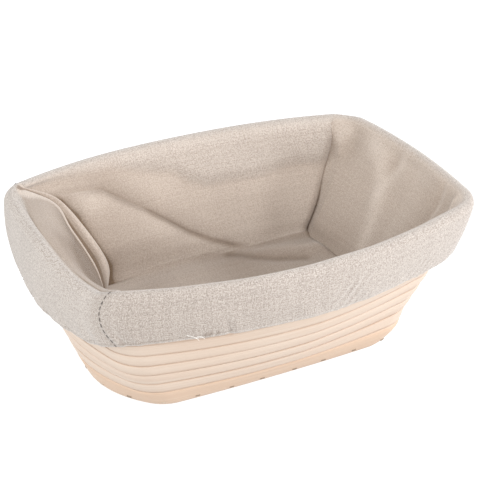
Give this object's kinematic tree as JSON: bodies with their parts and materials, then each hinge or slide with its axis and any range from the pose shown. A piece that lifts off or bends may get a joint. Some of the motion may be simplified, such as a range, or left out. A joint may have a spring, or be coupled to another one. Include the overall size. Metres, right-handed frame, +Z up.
{
  "type": "banneton proving basket",
  "caption": "Rectangular proving basket of stacked cane hoops on a wooden base, with a removable linen liner turned over its rim.",
  "frame": {"origin": "middle of the underside, on the surface that the basket stands on", "axes": "+X along the basket's length, +Y across its width, +Z up out of its mouth"},
  "size_m": [0.2126, 0.1574, 0.0829],
  "materials": {
    "rattan_cane": "pale unvarnished rattan strip, satin, peach-brown in the grooves",
    "base_plywood": "unvarnished birch-faced board, matt",
    "nail_steel": "dull dark steel brad",
    "linen": "undyed plain-weave linen with brown and white slubs",
    "elastic": "off-white braided elastic, matt",
    "sewing_thread": "grey-brown polyester thread"
  },
  "bodies": {
    "basket": {"base_board": "base_plywood", "cane_course_01": "rattan_cane", "cane_course_02": "rattan_cane", "cane_course_03": "rattan_cane", "cane_course_04": "rattan_cane", "cane_course_05": "rattan_cane", "cane_course_06": "rattan_cane", "cane_course_07": "rattan_cane", "cane_course_08": "rattan_cane", "cane_course_09": "rattan_cane", "cane_course_10": "rattan_cane", "base_nail_01": "nail_steel", "base_nail_02": "nail_steel", "base_nail_03": "nail_steel", "base_nail_04": "nail_steel", "base_nail_05": "nail_steel", "base_nail_06": "nail_steel", "base_nail_07": "nail_steel", "base_nail_08": "nail_steel", "base_nail_09": "nail_steel", "base_nail_10": "nail_steel", "base_nail_11": "nail_steel", "base_nail_12": "nail_steel", "base_nail_13": "nail_steel", "base_nail_14": "nail_steel", "base_nail_15": "nail_steel", "base_nail_16": "nail_steel", "base_nail_17": "nail_steel", "base_nail_18": "nail_steel", "base_nail_19": "nail_steel", "base_nail_20": "nail_steel", "base_nail_21": "nail_steel", "base_nail_22": "nail_steel", "base_nail_23": "nail_steel", "base_nail_24": "nail_steel"},
    "liner": {"liner_centre_panel": "linen", "liner_left_end_panel": "linen", "liner_right_end_panel": "linen", "hem_elastic": "elastic", "hem_thread": "sewing_thread", "left_seam_thread": "sewing_thread", "right_seam_thread": "sewing_thread"}
  },
  "joints": [
    {"name": "liner_lift", "type": "slide", "parent": "basket", "child": "liner", "axis": [0, 0, 1], "range_m": [0, 0.12], "deforming": ["liner_centre_panel", "liner_left_end_panel", "liner_right_end_panel", "hem_elastic", "hem_thread", "left_seam_thread", "right_seam_thread"]}
  ]
}
